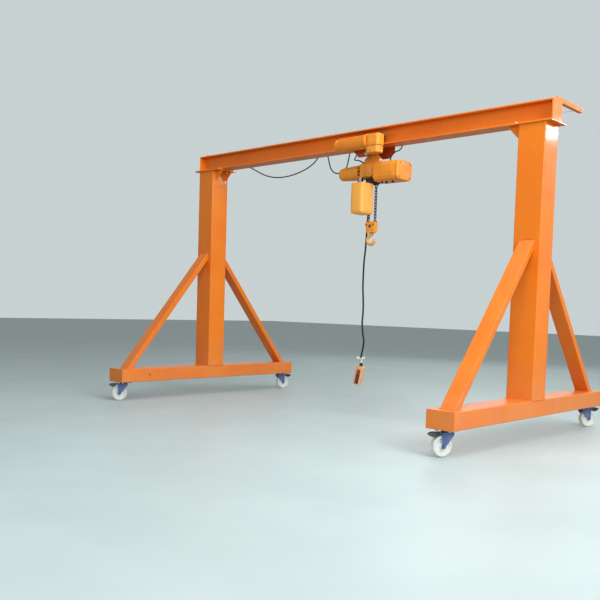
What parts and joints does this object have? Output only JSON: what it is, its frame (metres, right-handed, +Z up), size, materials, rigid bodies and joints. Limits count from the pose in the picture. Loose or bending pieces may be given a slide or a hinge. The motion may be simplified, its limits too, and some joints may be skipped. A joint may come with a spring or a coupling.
{
  "type": "gantry crane",
  "caption": "Portable gantry crane: H-section girder on braced box-section frames with swivel casters, and a motor trolley with an electric chain hoist and pendant.",
  "frame": {"origin": "on the floor, midway between the two frames and under the middle of the girder", "axes": "+Z up, +X along the girder, +Y along the base beams away from the drive motor"},
  "size_m": [4.62, 2.9118, 2.995],
  "materials": {
    "frame_paint": "glossy orange enamel",
    "hoist_paint": "satin yellow-orange enamel",
    "hook_paint": "worn yellow-orange paint",
    "trolley_paint": "dark red paint",
    "fork_paint": "blue paint",
    "bag_plastic": "coated yellow-orange cloth",
    "pendant_plastic": "moulded orange plastic",
    "nylon": "white nylon, worn on the tread",
    "black_plastic": "black, dusty",
    "cable_rubber": "black rubber sheath",
    "dark_steel": "dark oiled steel",
    "bright_steel": "zinc plated steel"
  },
  "bodies": {
    "root": {"girder": "frame_paint", "girder_end_plates": "frame_paint", "festoon_brackets": "frame_paint", "festoon_wire": "bright_steel", "festoon_anchor": "black_plastic", "festoon_cable": "cable_rubber", "column_left": "frame_paint", "column_right": "frame_paint", "column_cap_plates": "frame_paint", "base_beam_left": "frame_paint", "base_beam_right": "frame_paint", "base_end_plates": "frame_paint", "braces_left": "frame_paint", "braces_right": "frame_paint", "caster_plates": "dark_steel"},
    "festoon_slider": {"festoon_slider": "black_plastic"},
    "trolley": {"trolley_plate_near": "trolley_paint", "trolley_plate_far": "trolley_paint", "load_shaft": "bright_steel", "drive_motor": "hoist_paint", "tow_arm": "bright_steel", "trolley_lead": "cable_rubber", "drive_lead": "cable_rubber", "hoist_hanger": "hoist_paint", "hoist_gearbox": "hoist_paint", "hoist_motor": "hoist_paint", "hoist_control": "hoist_paint", "chain_bag": "bag_plastic", "load_chain": "dark_steel", "hook_block": "hoist_paint", "pendant_cable": "cable_rubber", "pendant": "pendant_plastic"},
    "trolley_wheels_left": {"trolley_wheels_left": "dark_steel"},
    "trolley_wheels_right": {"trolley_wheels_right": "dark_steel"},
    "hook": {"hook": "hook_paint"},
    "hook_latch": {"hook_latch": "bright_steel"},
    "caster_fork_near_left": {"caster_fork_near_left": "fork_paint"},
    "caster_wheel_near_left": {"caster_wheel_near_left": "nylon"},
    "brake_pedal_near_left": {"brake_pedal_near_left": "black_plastic"},
    "caster_fork_near_right": {"caster_fork_near_right": "fork_paint"},
    "caster_wheel_near_right": {"caster_wheel_near_right": "nylon"},
    "brake_pedal_near_right": {"brake_pedal_near_right": "black_plastic"},
    "caster_fork_far_left": {"caster_fork_far_left": "fork_paint"},
    "caster_wheel_far_left": {"caster_wheel_far_left": "nylon"},
    "brake_pedal_far_left": {"brake_pedal_far_left": "black_plastic"},
    "caster_fork_far_right": {"caster_fork_far_right": "fork_paint"},
    "caster_wheel_far_right": {"caster_wheel_far_right": "nylon"},
    "brake_pedal_far_right": {"brake_pedal_far_right": "black_plastic"}
  },
  "joints": [
    {"name": "trolley_travel", "type": "slide", "parent": "root", "child": "trolley", "axis": [1, 0, 0], "range_m": [-1.58, 1.15], "deforming": ["festoon_cable"]},
    {"name": "festoon_slide", "type": "slide", "parent": "root", "child": "festoon_slider", "axis": [1, 0, 0], "range_m": [-1.3383, 0.974]},
    {"name": "hook_swivel", "type": "hinge", "parent": "trolley", "child": "hook", "pos_m": [0.35, 0, 1.836], "axis": [0, 0, 1], "continuous": true},
    {"name": "hook_latch_hinge", "type": "hinge", "parent": "hook", "child": "hook_latch", "pos_m": [0.3735, 0, 1.8928], "axis": [0, 1, 0], "range_deg": [0, 34], "stiffness_Nm_per_rad": 0.06, "springref_deg": -22.92},
    {"name": "trolley_wheels_left_roll", "type": "hinge", "parent": "trolley", "child": "trolley_wheels_left", "pos_m": [0.225, 0, 2.8433], "axis": [0, 1, 0], "range_deg": [-1647, 1199]},
    {"name": "trolley_wheels_right_roll", "type": "hinge", "parent": "trolley", "child": "trolley_wheels_right", "pos_m": [0.475, 0, 2.8433], "axis": [0, 1, 0], "range_deg": [-1647, 1199]},
    {"name": "caster_near_left_swivel", "type": "hinge", "parent": "root", "child": "caster_fork_near_left", "pos_m": [-2.125, -1.295, 0.19], "axis": [0, 0, 1], "continuous": true},
    {"name": "caster_near_left_roll", "type": "hinge", "parent": "caster_fork_near_left", "child": "caster_wheel_near_left", "pos_m": [-2.1475, -1.33397, 0.085], "axis": [0.866, -0.5, 0], "continuous": true},
    {"name": "brake_near_left_press", "type": "hinge", "parent": "caster_fork_near_left", "child": "brake_pedal_near_left", "pos_m": [-2.165, -1.36428, 0.1865], "axis": [0.866, -0.5, 0], "range_deg": [0, 9]},
    {"name": "caster_near_right_swivel", "type": "hinge", "parent": "root", "child": "caster_fork_near_right", "pos_m": [2.125, -1.295, 0.19], "axis": [0, 0, 1], "continuous": true},
    {"name": "caster_near_right_roll", "type": "hinge", "parent": "caster_fork_near_right", "child": "caster_wheel_near_right", "pos_m": [2.10742, -1.33642, 0.085], "axis": [0.9205, -0.3907, 0], "continuous": true},
    {"name": "brake_near_right_press", "type": "hinge", "parent": "caster_fork_near_right", "child": "brake_pedal_near_right", "pos_m": [2.09374, -1.36864, 0.1865], "axis": [0.9205, -0.3907, 0], "range_deg": [0, 9]},
    {"name": "caster_far_left_swivel", "type": "hinge", "parent": "root", "child": "caster_fork_far_left", "pos_m": [-2.125, 1.295, 0.19], "axis": [0, 0, 1], "continuous": true},
    {"name": "caster_far_left_roll", "type": "hinge", "parent": "caster_fork_far_left", "child": "caster_wheel_far_left", "pos_m": [-2.10742, 1.33642, 0.085], "axis": [-0.9205, 0.3907, 0], "continuous": true},
    {"name": "brake_far_left_press", "type": "hinge", "parent": "caster_fork_far_left", "child": "brake_pedal_far_left", "pos_m": [-2.09374, 1.36864, 0.1865], "axis": [-0.9205, 0.3907, 0], "range_deg": [0, 9]},
    {"name": "caster_far_right_swivel", "type": "hinge", "parent": "root", "child": "caster_fork_far_right", "pos_m": [2.125, 1.295, 0.19], "axis": [0, 0, 1], "continuous": true},
    {"name": "caster_far_right_roll", "type": "hinge", "parent": "caster_fork_far_right", "child": "caster_wheel_far_right", "pos_m": [2.1475, 1.33397, 0.085], "axis": [-0.866, 0.5, 0], "continuous": true},
    {"name": "brake_far_right_press", "type": "hinge", "parent": "caster_fork_far_right", "child": "brake_pedal_far_right", "pos_m": [2.165, 1.36428, 0.1865], "axis": [-0.866, 0.5, 0], "range_deg": [0, 9]}
  ],
  "couplings": [
    {"joint": "festoon_slide", "follows": "trolley_travel", "ratio": 0.847},
    {"joint": "trolley_wheels_left_roll", "follows": "trolley_travel", "rad_per_m": 18.182},
    {"joint": "trolley_wheels_right_roll", "follows": "trolley_travel", "rad_per_m": 18.182}
  ]
}
